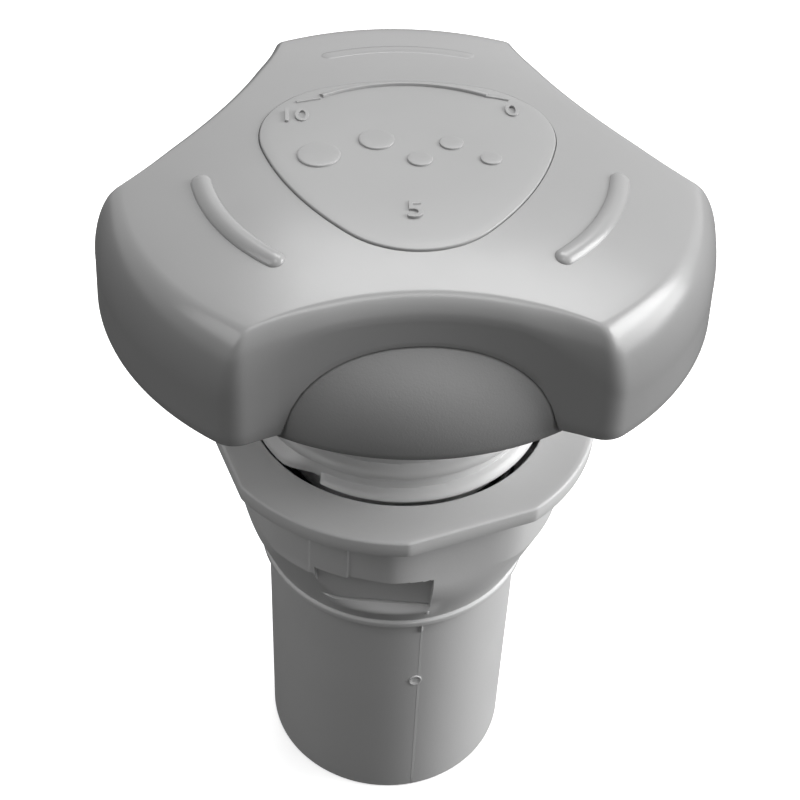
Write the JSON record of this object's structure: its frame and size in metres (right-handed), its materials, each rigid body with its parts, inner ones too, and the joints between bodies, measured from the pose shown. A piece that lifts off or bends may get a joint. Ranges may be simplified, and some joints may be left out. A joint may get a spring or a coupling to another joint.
{
  "type": "air control valve",
  "caption": "Panel-mounted air control valve with a three-lobed hand knob, domed escutcheon, threaded neck and a flanged socket body ending in a pipe spigot.",
  "frame": {"origin": "centre of the shell hole that the valve is mounted in, on the plane of the body flange's upper face, where the back of the shell seats", "axes": "+Z along the valve axis towards the knob, +Y towards one lobe of the knob, +X to the right-hand side seen from the scallop at -Y"},
  "size_m": [0.0704, 0.0659, 0.0978],
  "materials": {
    "body_plastic": "satin moulded",
    "handle_plastic": "semi-gloss moulded",
    "dome_plastic": "finely stippled matte",
    "inner_plastic": "natural acetal",
    "seal_rubber": "matte",
    "stainless_steel": "plain"
  },
  "bodies": {
    "lower_body": {"valve_body": "body_plastic"},
    "gasket_ring": {"flange_gasket": "seal_rubber"},
    "upper_fitting": {"wall_fitting": "body_plastic", "dome_escutcheon": "dome_plastic", "body_o_ring": "seal_rubber", "port_seal": "seal_rubber"},
    "handle_set": {"handle": "handle_plastic", "legend_plate": "handle_plastic", "handle_screw": "stainless_steel", "stem": "inner_plastic", "rotor": "inner_plastic", "stem_o_ring_lower": "seal_rubber", "stem_o_ring_upper": "seal_rubber", "thrust_washer": "inner_plastic", "stem_clip": "stainless_steel"}
  },
  "joints": [
    {"name": "clamp_travel", "type": "slide", "parent": "lower_body", "child": "gasket_ring", "axis": [0, 0, 1], "range_m": [-0.012, 0]},
    {"name": "fitting_screw", "type": "hinge", "parent": "gasket_ring", "child": "upper_fitting", "pos_m": [0, 0, 0], "axis": [0, 0, 1], "range_deg": [-1080, 0]},
    {"name": "handle_turn", "type": "hinge", "parent": "upper_fitting", "child": "handle_set", "pos_m": [0, 0, 0.0317], "axis": [0, 0, 1], "range_deg": [-40, 40]}
  ],
  "couplings": [
    {"joint": "clamp_travel", "follows": "fitting_screw", "m_per_rad": 0.00063662}
  ]
}
